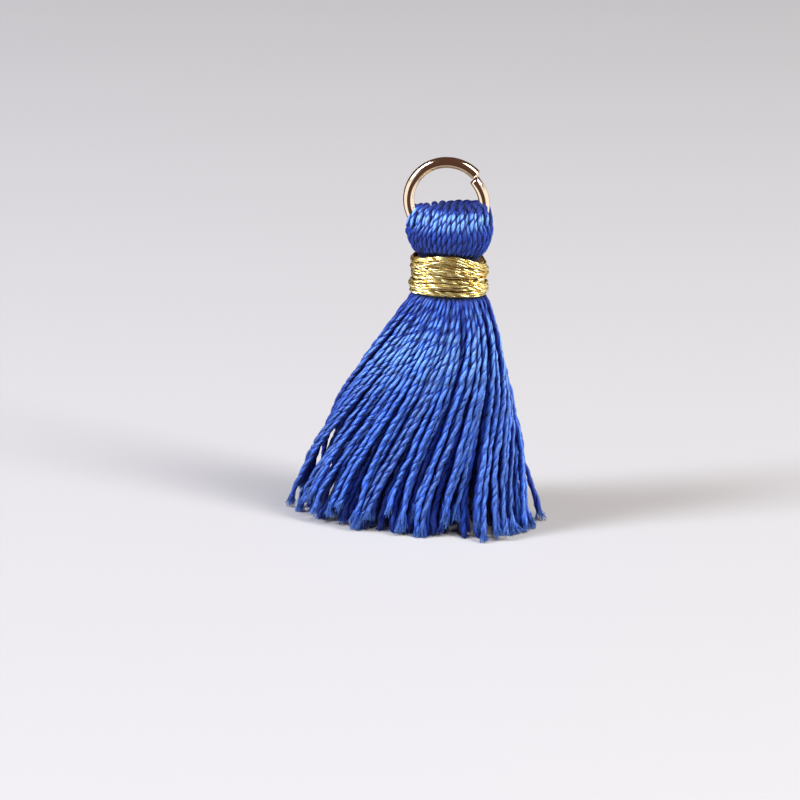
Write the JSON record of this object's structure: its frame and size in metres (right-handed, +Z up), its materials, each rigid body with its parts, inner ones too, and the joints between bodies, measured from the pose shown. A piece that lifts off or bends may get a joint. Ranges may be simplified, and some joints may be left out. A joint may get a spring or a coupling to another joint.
{
  "type": "silk tassel on a jump ring",
  "caption": "Small silk tassel: yarn folded over an open wire ring, bound at the neck with metallic thread, its cut strands spread into an oval skirt.",
  "frame": {"origin": "middle of the tassel's box on the floor that its cut ends rest on", "axes": "+X to the right across the flat skirt as seen from the front, +Y away from the viewer, +Z up towards the ring"},
  "size_m": [0.0245, 0.0116, 0.0349],
  "materials": {
    "yarn_bundle": "two-ply silk-like polyester yarn, royal blue with a soft sheen",
    "binding": "flat metallic gold thread wound in tight turns",
    "jump_ring": "bright pale gold plating on round wire"
  },
  "bodies": {
    "root": {"yarn_bundle": "yarn_bundle", "binding": "binding", "jump_ring": "jump_ring"}
  },
  "joints": []
}
